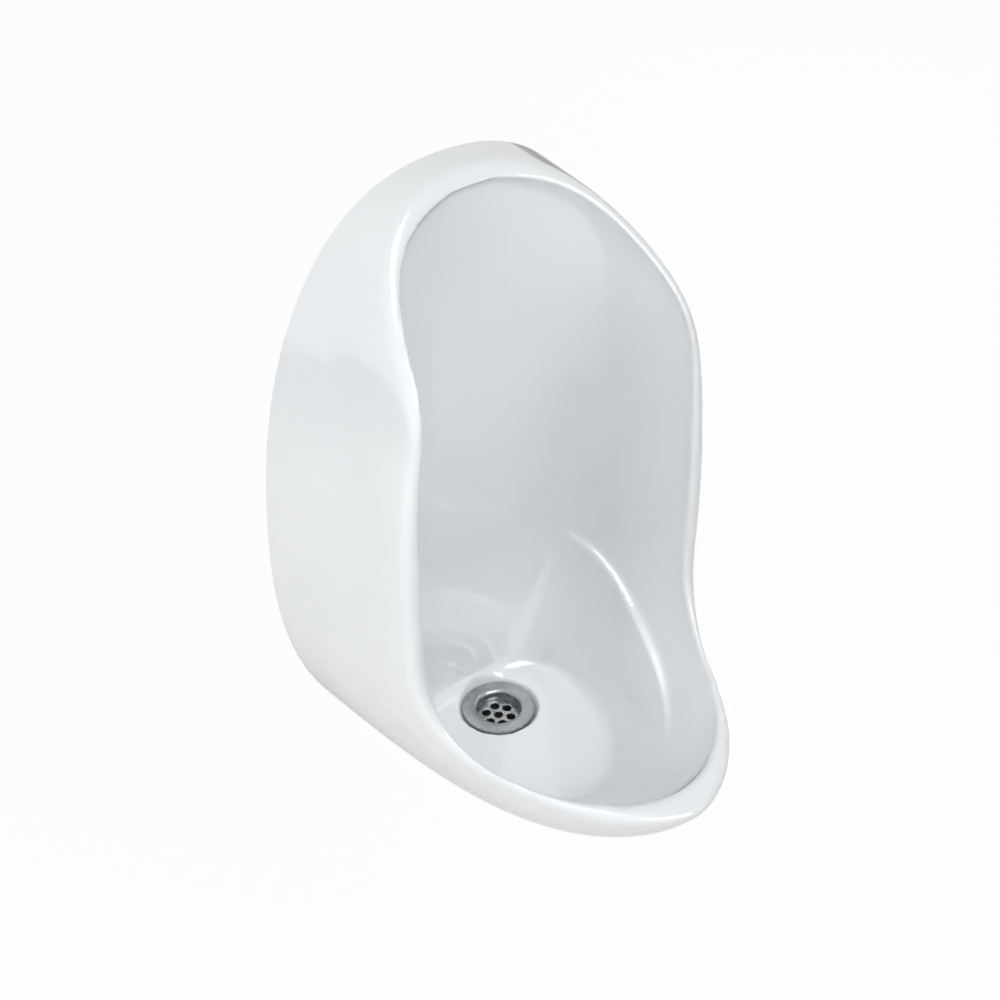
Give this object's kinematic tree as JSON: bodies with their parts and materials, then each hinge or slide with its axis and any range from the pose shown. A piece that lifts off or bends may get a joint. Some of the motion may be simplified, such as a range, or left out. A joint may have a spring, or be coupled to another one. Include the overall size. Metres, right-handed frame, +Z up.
{
  "type": "wall hung urinal",
  "caption": "White glazed ceramic wall hung urinal with a tall open bowl, a projecting rounded lip, side ledges, a flanged waste with a strainer grid, and steel wall hangers.",
  "frame": {"origin": "on the wall face, at the middle of the four hanger screws, 150 mm below the top edge", "axes": "+Z up, +X to the right of a user facing the wall, +Y into the wall; the body stands out to -Y"},
  "size_m": [0.3747, 0.435, 0.643],
  "materials": {
    "ceramic": "glossy white vitreous glaze",
    "waste_metal": "chromed brass, satin on the flange",
    "waste_metal_grid": "chromed, satin",
    "seal_rubber": "black rubber",
    "seal_rubber_bottom": "black rubber",
    "slip_plastic": "natural nylon",
    "backnut_metal": "plain brass",
    "hanger_steel": "zinc plated",
    "screw_steel": "zinc plated"
  },
  "bodies": {
    "root": {"ceramic_body": "ceramic", "waste_body": "waste_metal", "waste_grid": "waste_metal_grid", "waste_top_seal": "seal_rubber", "waste_bottom_seal": "seal_rubber_bottom", "waste_slip_washer": "slip_plastic", "waste_backnut": "backnut_metal", "hanger_left": "hanger_steel", "hanger_right": "hanger_steel", "hanger_screws": "screw_steel", "hanger_washers": "screw_steel"}
  },
  "joints": []
}
